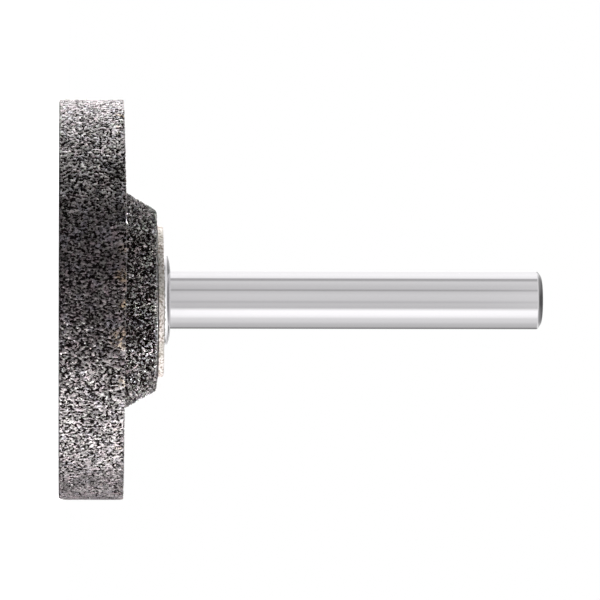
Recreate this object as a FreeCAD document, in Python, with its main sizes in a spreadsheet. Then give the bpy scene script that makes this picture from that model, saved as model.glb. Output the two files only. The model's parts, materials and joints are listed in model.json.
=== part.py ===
# Cylindrical mounted point: an abrasive wheel with a conical boss, cemented to a steel shank.
#
# The wheel stands on its flat grinding face. The origin is the centre of that face, and +Z runs
# along the shank, through the boss, to the shank's free end. All sizes are in millimetres.

import FreeCAD, Part
import math
import os

import Sketcher

V = FreeCAD.Vector

# Driving sizes, each with what it measures
SIZES = [
    ("wheel_diameter", 41.5, "grinding disc, across the rim"),
    ("wheel_thickness", 6.7, "grinding disc, front face to back face"),
    ("rim_edge_break", 0.22, "broken edge at the front and back of the rim"),
    ("boss_length", 3.45, "boss, back face of the disc to boss face"),
    ("boss_root_diameter", 22.6, "boss where its cone meets the disc"),
    ("boss_face_diameter", 18.5, "boss where its cone would meet the boss face"),
    ("boss_root_radius", 0.4, "hollow between the disc and the cone"),
    ("boss_shoulder_radius", 0.55, "rounding between the cone and the boss face"),
    ("front_web", 2.2, "abrasive left between the bore and the front face"),
    ("cement_gap", 0.9, "radial room for cement round the tail"),
    ("tail_floor_gap", 0.4, "cement under the end of the tail"),
    ("shank_diameter", 6.0, "shank, free part"),
    ("shank_projection", 40.1, "shank beyond the boss face"),
    ("shank_crown", 0.29, "rise of the crowned end over the full radius"),
    ("shank_chamfer", 0.36, "chamfer of the crowned end"),
    ("tail_step", 0.5, "shoulder between the shank and its turned-down tail, on the radius"),
    ("tail_chamfer", 0.5, "chamfer of the end held in the cement"),
    ("flute_count", 8, "straight flutes round the tail"),
    ("flute_radius", 0.7, "round bottom of a flute"),
    ("flute_depth", 0.45, "flute, below the tail's surface"),
    ("flute_runout", 2.2, "plain tail between the flutes and the boss face"),
    ("key_groove_width", 1.2, "ring groove that locks the tail endways"),
    ("key_groove_depth", 0.6, "ring groove, below the tail's surface"),
    ("key_groove_setback", 2.4, "ring groove's near side, from the end of the tail"),
    ("blotter_diameter", 15.8, "fibre washer, outside"),
    ("blotter_thickness", 0.62, "fibre washer"),
    ("blotter_edge_break", 0.25, "pressed outer edge of the washer"),
    ("blotter_clearance", 0.1, "radial room between the washer and the tail"),
    ("collar_diameter", 9.5, "steel collar, outside"),
    ("collar_rim", 0.43, "steel collar, height of its upright rim"),
    ("collar_crown", 0.34, "steel collar, rise of its dome from rim to shank"),
    ("collar_edge_break", 0.08, "broken edge between the collar's rim and dome"),
]

# Sizes that follow from the driving ones, as sheet formulas
DERIVED = [
    ("wheel_radius", "wheel_diameter / 2"),
    ("boss_face_height", "wheel_thickness + boss_length"),
    ("shank_radius", "shank_diameter / 2"),
    ("tail_radius", "shank_radius - tail_step"),
    ("bore_radius", "tail_radius + cement_gap"),
    ("bore_depth", "boss_face_height - front_web"),
    ("tail_end_height", "front_web + tail_floor_gap"),
    ("tip_height", "boss_face_height + shank_projection"),
    ("flute_length", "boss_face_height - flute_runout - tail_end_height"),
    ("key_groove_low", "tail_end_height + key_groove_setback"),
    ("key_groove_high", "key_groove_low + key_groove_width"),
    ("key_groove_floor", "tail_radius - key_groove_depth"),
    ("blotter_top", "boss_face_height + blotter_thickness"),
    ("collar_rim_top", "blotter_top + collar_rim"),
    ("collar_top", "collar_rim_top + collar_crown"),
]

# A sketch's origin, as its constraints name it
ORIGIN = (-1, 1)

VOLUME_TOLERANCE = 1e-6
EDGE_TOLERANCE = 1e-4


def make_sheet(doc):
    """Spreadsheet with one row for each size: value, note and alias."""
    sheet = doc.addObject("Spreadsheet::Sheet", "Sizes")
    row = 1
    for alias, value, note in SIZES:
        sheet.set(f"A{row}", alias)
        sheet.set(f"B{row}", str(value))
        sheet.set(f"C{row}", note)
        sheet.setAlias(f"B{row}", alias)
        row += 1
    for alias, formula in DERIVED:
        sheet.set(f"A{row}", alias)
        sheet.set(f"B{row}", f"={formula}")
        sheet.setAlias(f"B{row}", alias)
        row += 1
    doc.recompute()
    return sheet


def origin_feature(body, role):
    """One of the body's own origin planes or axes, found by its role."""
    for feature in body.Origin.OriginFeatures:
        if feature.Role == role:
            return feature
    raise ValueError(f"{body.Label} has no {role}")


def new_body(doc, label):
    body = doc.addObject("PartDesign::Body", label)
    body.Label = label
    return body


def new_sketch(body, name, plane):
    sketch = body.newObject("Sketcher::SketchObject", name)
    sketch.AttachmentSupport = [(origin_feature(body, plane), "")]
    sketch.MapMode = "FlatFace"
    return sketch


def bind(sketch, kind, first, second, name, expression):
    """Dimension of a sketch, from one element or point to another, driven by the sheet."""
    value = sketch.evalExpression(expression)
    index = sketch.addConstraint(Sketcher.Constraint(kind, *first, *second, float(value)))
    sketch.renameConstraint(index, name)
    sketch.setExpression(f"Constraints.{name}", expression)


def arc_about(start, end, centre_x):
    """Arc from start to end, anticlockwise, with its centre at a given distance from the axis."""
    reach = (start.x - centre_x) ** 2 - (end.x - centre_x) ** 2
    centre_y = (reach + start.y**2 - end.y**2) / (2 * (start.y - end.y))
    centre = V(centre_x, centre_y, 0)
    first_angle = math.atan2(start.y - centre.y, start.x - centre.x)
    last_angle = math.atan2(end.y - centre.y, end.x - centre.x)
    circle = Part.Circle(centre, V(0, 0, 1), centre.distanceToPoint(start))
    return Part.ArcOfCircle(circle, first_angle, last_angle)


def lathe_profile(body, name, corners, domes=None):
    """Closed half outline in the XZ plane, for turning about Z.

    Each corner is a name, a radius and a height, anticlockwise. Neighbours that share a radius or
    a height get an upright or level edge, and every other corner gets its own dimension. A corner
    named in domes starts an arc whose centre lies at the radius given there.
    """
    domes = domes or {}
    sketch = new_sketch(body, name, "XZ_Plane")
    points = [
        V(sketch.evalExpression(radius), sketch.evalExpression(height), 0)
        for _, radius, height in corners
    ]
    for index, (label, _, _) in enumerate(corners):
        start = points[index]
        end = points[(index + 1) % len(points)]
        if label in domes:
            sketch.addGeometry(arc_about(start, end, sketch.evalExpression(domes[label])))
        else:
            sketch.addGeometry(Part.LineSegment(start, end))
    for index in range(len(points)):
        following = (index + 1) % len(points)
        sketch.addConstraint(Sketcher.Constraint("Coincident", index, 2, following, 1))
    for index, (label, radius, height) in enumerate(corners):
        if index and radius == corners[index - 1][1]:
            sketch.addConstraint(Sketcher.Constraint("Vertical", index - 1))
        else:
            bind(sketch, "DistanceX", ORIGIN, (index, 1), f"{label}_radius", radius)
        if index and height == corners[index - 1][2]:
            sketch.addConstraint(Sketcher.Constraint("Horizontal", index - 1))
        else:
            bind(sketch, "DistanceY", ORIGIN, (index, 1), f"{label}_height", height)
        if label in domes:
            bind(sketch, "DistanceX", ORIGIN, (index, 3), f"{label}_centre", domes[label])
    return sketch


def add_circle(sketch, name, radius, reach=None):
    """Circle about the sketch's origin, or about a point on its X axis at the given reach."""
    size = sketch.evalExpression(radius)
    centre_x = sketch.evalExpression(reach) if reach else 0
    index = sketch.addGeometry(Part.Circle(V(centre_x, 0, 0), V(0, 0, 1), size))
    if reach:
        sketch.addConstraint(Sketcher.Constraint("PointOnObject", index, 3, -1))
        bind(sketch, "DistanceX", ORIGIN, (index, 3), f"{name}_reach", reach)
    else:
        sketch.addConstraint(Sketcher.Constraint("Coincident", index, 3, *ORIGIN))
    bind(sketch, "Radius", (index,), (), f"{name}_radius", radius)


def turn(body, kind, name, sketch):
    """Revolution or Groove of a sketch, full circle about the body's own Z axis."""
    feature = body.newObject(f"PartDesign::{kind}", name)
    feature.Profile = sketch
    feature.ReferenceAxis = (origin_feature(body, "Z_Axis"), [""])
    feature.Angle = 360.0
    return feature


def ring_edges(shape, radius, height):
    """Names of the circular edges about Z with this radius at this height."""
    found = []
    for index, edge in enumerate(shape.Edges, 1):
        box = edge.BoundBox
        level = abs(box.ZMin - height) + abs(box.ZMax - height) < 2 * EDGE_TOLERANCE
        if level and isinstance(edge.Curve, Part.Circle):
            if abs(edge.Curve.Radius - radius) < EDGE_TOLERANCE:
                found.append(f"Edge{index}")
    if not found:
        raise ValueError(f"no ring edge of radius {radius} at height {height}")
    return found


def dress_rings(body, kind, name, base, rings, size_property, expression):
    """Fillet or Chamfer on ring edges, each given as radius and height expressions."""
    edges = []
    for radius, height in rings:
        edges += ring_edges(base.Shape, base.evalExpression(radius), base.evalExpression(height))
    feature = body.newObject(f"PartDesign::{kind}", name)
    feature.Base = (base, edges)
    feature.setExpression(size_property, expression)
    return feature


def require_cut(before, feature):
    """A cut that points away from the solid removes nothing and shows no error."""
    if feature.Shape.Volume > before.Volume - VOLUME_TOLERANCE:
        raise ValueError(f"{feature.Name} removes nothing")


def make_abrasive_wheel(doc):
    """Disc and conical boss in one moulding, with a blind bore for the cemented tail."""
    body = new_body(doc, "abrasive_wheel")
    outline = lathe_profile(
        body,
        "wheel_outline",
        [
            ("front_centre", "0", "0"),
            ("front_rim", "Sizes.wheel_radius", "0"),
            ("back_rim", "Sizes.wheel_radius", "Sizes.wheel_thickness"),
            ("boss_root", "Sizes.boss_root_diameter / 2", "Sizes.wheel_thickness"),
            ("boss_shoulder", "Sizes.boss_face_diameter / 2", "Sizes.boss_face_height"),
            ("boss_centre", "0", "Sizes.boss_face_height"),
        ],
    )
    blank = turn(body, "Revolution", "wheel_blank", outline)
    doc.recompute()

    rim_rings = [
        ("Sizes.wheel_radius", "0"),
        ("Sizes.wheel_radius", "Sizes.wheel_thickness"),
    ]
    rim = dress_rings(
        body, "Chamfer", "rim_edges", blank, rim_rings, "Size", "Sizes.rim_edge_break"
    )
    doc.recompute()

    root_ring = [("Sizes.boss_root_diameter / 2", "Sizes.wheel_thickness")]
    root = dress_rings(
        body, "Fillet", "boss_root_hollow", rim, root_ring, "Radius", "Sizes.boss_root_radius"
    )
    doc.recompute()

    shoulder_ring = [("Sizes.boss_face_diameter / 2", "Sizes.boss_face_height")]
    shoulder = dress_rings(
        body,
        "Fillet",
        "boss_shoulder_rounding",
        root,
        shoulder_ring,
        "Radius",
        "Sizes.boss_shoulder_radius",
    )
    doc.recompute()

    mouth = new_sketch(body, "bore_mouth", "XY_Plane")
    mouth.setExpression(".AttachmentOffset.Base.z", "Sizes.boss_face_height")
    add_circle(mouth, "bore", "Sizes.bore_radius")
    bore = body.newObject("PartDesign::Pocket", "shank_bore")
    bore.Profile = mouth
    bore.setExpression("Length", "Sizes.bore_depth")
    doc.recompute()
    require_cut(shoulder.Shape, bore)
    return body


def make_shank(doc):
    """Ground shank with a crowned free end, a shoulder on the collar and a keyed tail below it."""
    body = new_body(doc, "shank")
    outline = lathe_profile(
        body,
        "shank_outline",
        [
            ("tail_centre", "0", "Sizes.tail_end_height"),
            ("tail_corner", "Sizes.tail_radius", "Sizes.tail_end_height"),
            ("shoulder_root", "Sizes.tail_radius", "Sizes.collar_top"),
            ("shoulder", "Sizes.shank_radius", "Sizes.collar_top"),
            ("crown", "Sizes.shank_radius", "Sizes.tip_height - Sizes.shank_crown"),
            ("tip", "0", "Sizes.tip_height"),
        ],
        domes={"crown": "0"},
    )
    bar = turn(body, "Revolution", "shank_bar", outline)
    doc.recompute()

    tip_ring = [("Sizes.shank_radius", "Sizes.tip_height - Sizes.shank_crown")]
    tip = dress_rings(body, "Chamfer", "tip_chamfer", bar, tip_ring, "Size", "Sizes.shank_chamfer")
    doc.recompute()

    tail_ring = [("Sizes.tail_radius", "Sizes.tail_end_height")]
    tail = dress_rings(body, "Chamfer", "tail_lead", tip, tail_ring, "Size", "Sizes.tail_chamfer")
    doc.recompute()

    groove_outline = lathe_profile(
        body,
        "key_groove_outline",
        [
            ("floor_low", "Sizes.key_groove_floor", "Sizes.key_groove_low"),
            ("mouth_low", "Sizes.bore_radius", "Sizes.key_groove_low"),
            ("mouth_high", "Sizes.bore_radius", "Sizes.key_groove_high"),
            ("floor_high", "Sizes.key_groove_floor", "Sizes.key_groove_high"),
        ],
    )
    key_groove = turn(body, "Groove", "key_groove", groove_outline)
    doc.recompute()
    require_cut(tail.Shape, key_groove)

    flute_section = new_sketch(body, "flute_section", "XY_Plane")
    flute_section.setExpression(".AttachmentOffset.Base.z", "Sizes.tail_end_height")
    flute_centre = "Sizes.tail_radius - Sizes.flute_depth + Sizes.flute_radius"
    add_circle(flute_section, "flute", "Sizes.flute_radius", reach=flute_centre)
    flute = body.newObject("PartDesign::Pocket", "flute")
    flute.Profile = flute_section
    flute.Reversed = True
    flute.setExpression("Length", "Sizes.flute_length")
    doc.recompute()
    require_cut(key_groove.Shape, flute)

    flutes = body.newObject("PartDesign::PolarPattern", "flutes")
    flutes.Originals = [flute]
    flutes.Axis = (origin_feature(body, "Z_Axis"), [""])
    flutes.Angle = 360.0
    flutes.setExpression("Occurrences", "Sizes.flute_count")
    body.Tip = flutes
    doc.recompute()
    require_cut(flute.Shape, flutes)
    return body


def make_blotter(doc):
    """Fibre washer that lies on the boss face under the collar."""
    body = new_body(doc, "blotter")
    plan = new_sketch(body, "washer_plan", "XY_Plane")
    plan.setExpression(".AttachmentOffset.Base.z", "Sizes.boss_face_height")
    add_circle(plan, "outside", "Sizes.blotter_diameter / 2")
    add_circle(plan, "hole", "Sizes.tail_radius + Sizes.blotter_clearance")
    washer = body.newObject("PartDesign::Pad", "washer")
    washer.Profile = plan
    washer.setExpression("Length", "Sizes.blotter_thickness")
    doc.recompute()

    edge_ring = [("Sizes.blotter_diameter / 2", "Sizes.blotter_top")]
    dress_rings(
        body, "Chamfer", "pressed_edge", washer, edge_ring, "Size", "Sizes.blotter_edge_break"
    )
    doc.recompute()
    return body


def make_collar(doc):
    """Steel collar pressed on the tail up to the shoulder, with an upright rim and a low dome."""
    body = new_body(doc, "collar")
    outline = lathe_profile(
        body,
        "collar_outline",
        [
            ("seat_inner", "Sizes.tail_radius", "Sizes.blotter_top"),
            ("seat_outer", "Sizes.collar_diameter / 2", "Sizes.blotter_top"),
            ("dome", "Sizes.collar_diameter / 2", "Sizes.collar_rim_top"),
            ("neck", "Sizes.shank_radius", "Sizes.collar_top"),
            ("shoulder_seat", "Sizes.tail_radius", "Sizes.collar_top"),
        ],
        domes={"dome": "Sizes.shank_radius"},
    )
    ring = turn(body, "Revolution", "collar_ring", outline)
    doc.recompute()

    rim_ring = [("Sizes.collar_diameter / 2", "Sizes.collar_rim_top")]
    dress_rings(body, "Chamfer", "rim_edge", ring, rim_ring, "Size", "Sizes.collar_edge_break")
    doc.recompute()
    return body


def make_bonding_cement(doc, shank):
    """Cement that fills the bore, with the shape of the keyed tail left in it."""
    fill = doc.addObject("Part::Cylinder", "bore_fill")
    fill.setExpression("Radius", "Sizes.bore_radius")
    fill.setExpression("Height", "Sizes.bore_depth")
    fill.setExpression(".Placement.Base.z", "Sizes.front_web")
    cement = doc.addObject("Part::Cut", "bonding_cement")
    cement.Label = "bonding_cement"
    cement.Base = fill
    cement.Tool = shank
    doc.recompute()
    if cement.Shape.Volume > fill.Shape.Volume - VOLUME_TOLERANCE:
        raise ValueError("the tail leaves no room in the cement")
    return cement


def check_document(doc, pieces):
    """Stop before anything is written if an object failed or a piece isn't one sound solid."""
    for item in doc.Objects:
        if "Invalid" in item.State or "Error" in item.State:
            raise ValueError(f"{item.Label} failed to recompute: {item.State}")
    for piece in pieces:
        if piece.Shape.isNull() or not piece.Shape.isValid():
            raise ValueError(f"{piece.Label} has no valid shape")
        if len(piece.Shape.Solids) != 1:
            raise ValueError(f"{piece.Label} has {len(piece.Shape.Solids)} solids, not one")


def main():
    doc = FreeCAD.newDocument("mounted_point")
    make_sheet(doc)
    wheel = make_abrasive_wheel(doc)
    shank = make_shank(doc)
    pieces = [
        wheel,
        shank,
        make_blotter(doc),
        make_collar(doc),
        make_bonding_cement(doc, shank),
    ]
    doc.recompute()
    check_document(doc, pieces)
    os.makedirs("parts", exist_ok=True)
    for piece in pieces:
        piece.Shape.exportStep(f"parts/{piece.Label}.step")
        print(piece.Label, round(piece.Shape.Volume, 2), "mm3")


main()
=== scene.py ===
import json
import math
import random

import bpy
from bpy.props import FloatProperty, FloatVectorProperty, IntProperty, PointerProperty
from bpy.types import Operator, Panel, PropertyGroup
from mathutils import Matrix, Vector

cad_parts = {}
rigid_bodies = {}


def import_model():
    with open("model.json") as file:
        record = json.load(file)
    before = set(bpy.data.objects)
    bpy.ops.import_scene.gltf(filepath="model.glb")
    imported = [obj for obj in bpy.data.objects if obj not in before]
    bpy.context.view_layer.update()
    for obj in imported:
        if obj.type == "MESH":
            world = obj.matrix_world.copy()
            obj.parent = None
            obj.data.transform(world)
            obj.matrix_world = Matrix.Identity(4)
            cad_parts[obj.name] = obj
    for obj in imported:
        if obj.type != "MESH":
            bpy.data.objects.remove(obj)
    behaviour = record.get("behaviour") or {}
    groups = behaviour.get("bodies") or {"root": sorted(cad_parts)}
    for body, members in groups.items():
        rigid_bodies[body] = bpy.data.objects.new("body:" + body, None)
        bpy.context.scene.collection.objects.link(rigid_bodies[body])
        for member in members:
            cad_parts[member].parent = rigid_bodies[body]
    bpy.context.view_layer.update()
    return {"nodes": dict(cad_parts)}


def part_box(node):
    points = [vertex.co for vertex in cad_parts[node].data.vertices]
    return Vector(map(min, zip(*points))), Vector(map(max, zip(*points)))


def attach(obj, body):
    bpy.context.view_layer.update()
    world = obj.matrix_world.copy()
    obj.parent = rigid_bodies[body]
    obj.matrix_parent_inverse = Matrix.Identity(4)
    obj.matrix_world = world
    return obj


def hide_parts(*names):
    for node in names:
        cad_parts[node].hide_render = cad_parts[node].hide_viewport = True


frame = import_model()

bl_info = {
    "name": "Cylindrical mounted point",
    "version": (1, 0, 0),
    "blender": (4, 5, 0),
    "location": "3D View > Sidebar > Mounted point",
    "description": "Abrasive grain, fibre washer and ground steel for a mounted point",
    "category": "Object",
}

MM = 0.001
WHEEL_LOW, WHEEL_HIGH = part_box("abrasive_wheel")
BLOTTER_LOW, BLOTTER_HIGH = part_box("blotter")
COLLAR_LOW, COLLAR_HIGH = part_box("collar")
SHANK_LOW, SHANK_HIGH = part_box("shank")

# Keeps rounding in the mesh data from putting a vertex outside the frame's own box
SKIN_GAP = 0.002 * MM

# The wheel's skin ends under the washer, at this share of its radius
SEAT_SHARE = 0.9

# The skin has its full number of points round the axis outside this share of the wheel's radius
FULL_SHARE = 0.56

# That number is a multiple of this one, so that it can be halved towards the axis
HALVINGS = 64

# The grain is drawn out along the axis, so its pattern is read with a shorter height
GRAIN_STRETCH = (1.0, 1.0, 0.66)

# Ripples in the wear of the disc's edges: waves round the axis and where each starts, radians
RIPPLES = [(23, 0.0), (41, 1.0)]

# Clumps of stain at the edge of the disc: azimuth in degrees, height and reach in mm
CLUMPS = [(-11.0, 6.3, 1.4), (6.5, 6.35, 0.9), (-1.5, 6.6, 0.7), (-24.0, 6.6, 0.8)]

# Light tent as the steel shows it: azimuth in degrees, brightness
TENT = [
    (-180, 0.20), (-150, 0.30), (-137, 0.66), (-127, 0.73), (-111, 0.82), (-98, 1.02), (-80, 1.10),
    (-71, 1.42), (-60, 1.60), (-45, 1.65), (-38, 1.30), (-32, 0.80), (-16, 0.86), (-8, 0.74),
    (0, 0.93), (20, 0.98), (34, 0.87), (38, 0.54), (41, 0.56), (45, 0.83), (58, 0.88), (76, 1.0),
    (80, 0.95), (84, 0.62), (94, 0.58), (99, 1.35), (120, 1.50), (150, 1.3), (180, 1.2),
]

# Inputs that the porous mass has in its geometry nodes and in its shader group
GRAIN_SOCKETS = [
    ("Grain Size", "NodeSocketFloat", 0.4 * MM),
    ("Openness", "NodeSocketFloat", 0.5),
]

WHITE = (1.0, 1.0, 1.0)

# Middle of the range of a texture's colour
MIDDLE = (0.5, 0.5, 0.5)


def length(name, default, description):
    """A size in metres that the sidebar shows as a length."""
    return FloatProperty(
        name=name, description=description, default=default, min=0.0, unit="LENGTH", precision=6
    )


def share(name, default, description):
    """A plain number from 0 to 1."""
    return FloatProperty(
        name=name, description=description, default=default, min=0.0, max=1.0, subtype="FACTOR"
    )


def number(name, default, description):
    """A plain number, such as an angle in degrees or a brightness."""
    return FloatProperty(name=name, description=description, default=default)


def colour(name, default, description):
    """A linear colour."""
    return FloatVectorProperty(
        name=name, description=description, default=default, min=0.0, max=1.0, subtype="COLOR"
    )


class WheelSettings(PropertyGroup):
    """Outline of the abrasive wheel."""

    disc_thickness: length("Disc thickness", 6.7 * MM, "Front face to back face of the disc")
    rim_rounding: length("Rim rounding", 0.09 * MM, "Rounding of both edges of the rim")
    boss_root_radius: length("Boss root radius", 11.3 * MM, "Boss where its cone meets the disc")
    boss_face_radius: length("Boss face radius", 9.25 * MM, "Boss where its cone meets its face")
    root_hollow: length("Root hollow", 0.4 * MM, "Hollow between the disc and the cone")
    shoulder_rounding: length("Shoulder", 0.55 * MM, "Rounding between the cone and the face")
    bore_radius: length("Bore radius", 3.4 * MM, "Blind bore that holds the tail of the shank")
    bore_floor: length("Bore floor", 2.2 * MM, "Height of the bore's floor over the front face")
    core_depth: length("Core depth", 0.45 * MM, "Solid core, below the skin of the wheel")
    core_step: length("Core step", 0.6 * MM, "Spacing of the core's vertices")
    lift: length("Lift", 0.19 * MM, "Extra thickness of the disc where it was pressed thickest")
    lift_azimuth: number("Lift azimuth", 17.0, "Where the disc is thickest, degrees")
    lift_spread: number("Lift spread", 35.0, "How far round the lift reaches, degrees")
    swell: length("Swell", 0.1 * MM, "How far the boss stands out on one side; twice that at its top")
    swell_azimuth: number("Swell azimuth", -90.0, "Side on which it stands out, degrees")
    swell_start: length("Swell start", 0.36 * MM, "Where the boss's face starts to rise, from its edge")
    swell_run: length("Swell run", 0.8 * MM, "Width over which the face rises there")
    wear: length("Wear", 0.075 * MM, "How far the edges of the disc are worn in")
    wear_reach: length("Wear reach", 0.35 * MM, "Width of the worn edge on both of its faces")
    wear_azimuth: number("Wear azimuth", -90.0, "Side on which the front edge is most worn")
    least_wear: share("Least wear", 0.35, "Share of the wear on the other side of the front edge")
    back_wear: share("Back wear", 0.45, "Share of the wear all round the back edge")
    wear_ripple: share("Wear ripple", 0.2, "How uneven the wear is")


# Settings that both kinds of face have: name, kind, default where the face is dressed, default
# where it is as moulded, description
FACE_SETTINGS = [
    ("grain", length, 0.22 * MM, 0.215 * MM, "Mean width of a grain"),
    ("openness", share, 0.57, 0.9, "Share of pores"),
    ("depth", length, 0.12 * MM, 0.22 * MM, "Depth of the pores"),
    ("relief", length, 0.004 * MM, 0.05 * MM, "Relief of the grains"),
    ("roughness", share, 0.37, 0.27, "Roughness of the grains"),
    ("gain", number, 1.0, 1.25, "Lightness of the grains"),
    ("index", number, 1.5, 1.9, "Refractive index of the grains"),
    ("flatness", share, 0.42, 0.0, "How level the tops of the grains shade"),
    ("shine", share, 0.5, 0.75, "How strongly the grains reflect"),
    ("lean", number, 0.47, 0.95, "How far the facets of the grains lean"),
]


def face_settings(moulded):
    """Settings of one kind of face, with its defaults."""
    return {
        name: kind(name.title(), for_moulded if moulded else for_dressed, description)
        for name, kind, for_dressed, for_moulded, description in FACE_SETTINGS
    }


class DressedSettings(PropertyGroup):
    """Pores and grain of the dressed faces."""

    __annotations__ = face_settings(False)


class MouldedSettings(PropertyGroup):
    """Pores and grain of the faces as moulded."""

    __annotations__ = face_settings(True)


class MassSettings(PropertyGroup):
    """Colour, stain, shade painted in the pores and fine relief of the abrasive mass."""

    fine_relief: length("Fine relief", 0.006 * MM, "Fine roughness of every grain")
    pore_bump: length("Pore bump", 0.04 * MM, "Depth that the shading adds to the pores")
    # The shade painted into the pores is stronger in patches of this size
    pore_patch: length("Pore patch", 0.6 * MM, "Size of the patches where pores are darker")
    tone_patch: length("Tone patch", 3.0 * MM, "Size of the patches where grain is lighter")
    step: length("Step", 0.0985 * MM, "Spacing of the skin's vertices")
    # Colour of the bond in the hidden core, and of the shade painted into the pores
    bond_and_pore_shade: colour("Bond", (0.004, 0.003, 0.003), "Dark bond in the pores")
    dark: colour("Dark grain", (0.018, 0.014, 0.015), "Darkest grain")
    middle: colour("Middle grain", (0.128, 0.106, 0.112), "Lighter grain")
    light: colour("Light grain", (0.28, 0.27, 0.27), "Lightest grain")
    stain: colour("Stain", (0.38, 0.27, 0.16), "Light grains of the stain at the edge of the disc")
    stain_dark: colour("Stain, dark", (0.045, 0.027, 0.018), "Its dark grains")
    stain_drop: length("Stain drop", 0.2 * MM, "Middle of the stain, below the back face of the disc")
    stain_reach: length("Stain reach", 1.0 * MM, "How far the stain reaches to both sides")
    stain_patch: length("Stain patch", 1.6 * MM, "Size of the patches of the stain")
    stain_crumb: length("Stain crumb", 0.5 * MM, "Size of the crumbs of its clumps")


class SteelSettings(PropertyGroup):
    """Form and finish of the shank and the collar, and the shade painted at the collar's foot."""

    tail_radius: length("Tail radius", 2.5 * MM, "Turned-down tail in the cement")
    tail_chamfer: length("Tail chamfer", 0.5 * MM, "Chamfer at the end of the tail")
    flute_count: IntProperty(name="Flutes", description="Straight flutes of the tail", default=8)
    flute_radius: length("Flute radius", 0.7 * MM, "Round bottom of a flute")
    flute_depth: length("Flute depth", 0.45 * MM, "Flute, below the surface of the tail")
    flute_top: length("Flute top", 7.95 * MM, "Height at which the flutes run out")
    groove_low: length("Groove low", 5.0 * MM, "Lower side of the ring groove")
    groove_high: length("Groove high", 6.2 * MM, "Upper side of the ring groove")
    groove_radius: length("Groove radius", 1.9 * MM, "Floor of the ring groove")
    tip_chamfer: length("Tip chamfer", 0.42 * MM, "Height of the chamfer of the free end")
    tip_bevel: length("Tip bevel", 0.55 * MM, "Width of that chamfer, across the axis")
    tip_crown: length("Tip crown", 0.21 * MM, "Rise of the crowned end over the full radius")
    tip_rounding: length("Tip rounding", 0.3 * MM, "Rounding between the cylinder and the chamfer")
    collar_rim: length("Collar rim", 0.40 * MM, "Height of the collar's upright rim")
    # Height of the shade painted along the collar's foot, where it meets the washer
    collar_shade_height: length("Collar foot", 0.21 * MM, "Height to which the collar's foot is dull")
    collar_foot_edge: length("Foot edge", 0.08 * MM, "Rounding at the foot of the collar")
    collar_draft: length("Collar draft", 0.06 * MM, "How far the collar's rim leans in at its top")
    collar_edge: length("Collar edge", 0.09 * MM, "Rounding between the collar's rim and dome")
    colour: colour("Steel", (0.62, 0.61, 0.625), "Ground steel")
    # Colour of the shade painted at the collar's foot
    collar_shade: colour("Dull steel", (0.13, 0.125, 0.12), "The collar's dull foot")
    roughness: share("Roughness", 0.09, "Roughness of the ground shank")
    line_size: length("Line size", 0.03 * MM, "Spacing of the ground lines on the shank")
    drawn_size: length("Drawn size", 0.08 * MM, "Spacing of the drawn lines on the collar")
    line_depth: length("Line depth", 0.0004 * MM, "Depth of both")


class BlotterSettings(PropertyGroup):
    """Form and colour of the fibre washer, and the shade painted at its foot."""

    hole_radius: length("Hole radius", 2.6 * MM, "Hole for the tail of the shank")
    edge_rounding: length("Edge rounding", 0.28 * MM, "Pressed outer edge")
    foot_rounding: length("Foot rounding", 0.08 * MM, "Outer edge next to the boss")
    unevenness: length("Unevenness", 0.05 * MM, "How ragged the outer edge is")
    step: length("Step", 0.15 * MM, "Spacing of the outline's points")
    shift: length("Shift", 0.2 * MM, "How far the washer lies off the axis")
    shift_azimuth: number("Shift azimuth", -90.0, "Direction of the shift, degrees")
    tilt: length("Tilt", 0.045 * MM, "How far the washer stands off on the side it is shifted to")
    pale: colour("Pale fibre", (0.87, 0.84, 0.805), "Most of the washer")
    brown: colour("Brown fibre", (0.28, 0.24, 0.19), "Darker fibres")
    grey: colour("Grey fibre", (0.36, 0.38, 0.32), "Dull patches")
    # Colour of the shade painted at the washer's foot, next to the boss
    washer_shade: colour("Soaked fibre", (0.06, 0.05, 0.05), "The stained foot")
    fibre_size: length("Fibre size", 0.26 * MM, "Size of the specks")
    patch_size: length("Patch size", 2.5 * MM, "Size of the dull patches")
    relief: length("Relief", 0.03 * MM, "Depth of the fibres")
    # Height of the shade painted at the washer's foot
    foot: length("Foot", 0.14 * MM, "Height to which the foot is stained by the dark bond")


class StudioSettings(PropertyGroup):
    """Camera, lamps and surroundings."""

    picture_width: length("Picture width", 62.25 * MM, "Width of the view at the axis")
    camera_distance: length("Camera distance", 650 * MM, "Camera to axis")
    camera_height: length("Camera height", 1.0 * MM, "Camera over the floor")
    view_centre: length("View centre", 25.015 * MM, "Height on the axis at the picture's centre")
    camera_roll: number("Camera roll", 0.10, "Turn of the camera about its line of sight, degrees")
    floor_width: length("Floor width", 3.0, "Width of the floor")
    floor_drop: length("Floor drop", 0.05 * MM, "Gap between the floor and the front face")
    lamp_distance: length("Lamp distance", 500 * MM, "Lamp to axis")
    lamp_height: length("Lamp height", 300 * MM, "Height of the lamps")
    strip_height: length("Strip height", 1400 * MM, "Height of the strips that the grain reflects")
    lamp_centre: length("Lamp centre", 25 * MM, "Height of the lamps' centres over the floor")
    front_lamp: number("Front lamp", 18.3, "Brightness of the soft lamp at the camera's side")
    back_lamp: number("Back lamp", 26.0, "Brightness of the soft lamp behind the tool")
    front_gloss: number("Front gloss", 70.0, "Brightness of the strip that the disc reflects")
    side_gloss: number("Side gloss", 3.5, "Brightness of the strip beside it, on the disc")
    boss_gloss: number("Boss gloss", 44.0, "Brightness of the strip that the boss reflects")
    back_gloss: number("Back gloss", 9.8, "Brightness of the strip behind, on grazed grain")
    collar_front: number("Collar front", 1.3, "Brightness of the card that lights the collar")
    collar_back: number("Collar back", 1.15, "Brightness of the cards behind, for the collar")
    fill: share("Fill", 0.28, "Brightness of the surroundings on matt surfaces")


SETTINGS = {
    "wheel": WheelSettings,
    "dressed": DressedSettings,
    "moulded": MouldedSettings,
    "mass": MassSettings,
    "steel": SteelSettings,
    "blotter": BlotterSettings,
    "studio": StudioSettings,
}


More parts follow.
